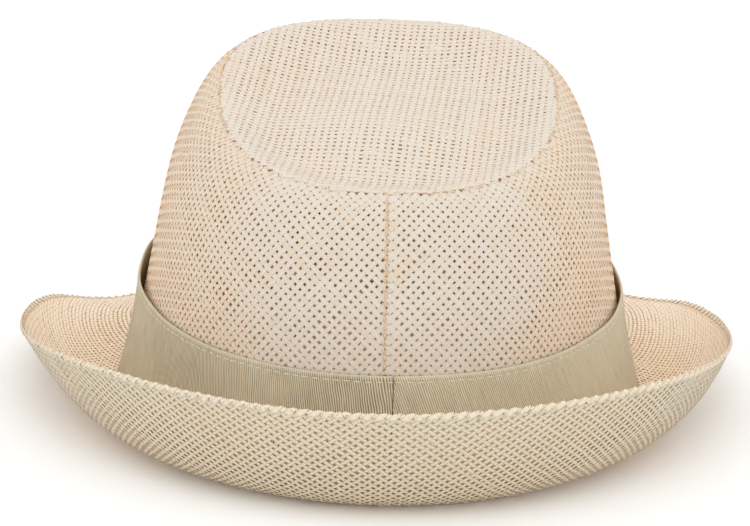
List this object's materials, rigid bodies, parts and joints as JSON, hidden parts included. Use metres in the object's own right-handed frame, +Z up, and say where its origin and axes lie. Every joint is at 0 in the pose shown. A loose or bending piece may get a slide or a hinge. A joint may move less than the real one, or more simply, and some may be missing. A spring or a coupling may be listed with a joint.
{
  "type": "fedora",
  "caption": "Short-brimmed fedora of open woven straw with a teardrop dent, a brim curled up at the back and sides, and a plain cotton band.",
  "frame": {"origin": "middle of the footprint box, on the surface that the brim lies on", "axes": "+Z up, -Y towards the front of the hat, +X towards the wearer's left"},
  "size_m": [0.2448, 0.2772, 0.1192],
  "materials": {
    "straw": "bias-woven natural paper straw, matt with a faint gloss",
    "straw_tip": "straight-woven natural paper straw, matt with a faint gloss",
    "band_cotton": "khaki cotton twill, matt"
  },
  "bodies": {
    "root": {"crown_side": "straw", "crown_tip": "straw_tip", "brim": "straw", "hat_band": "band_cotton"}
  },
  "joints": []
}
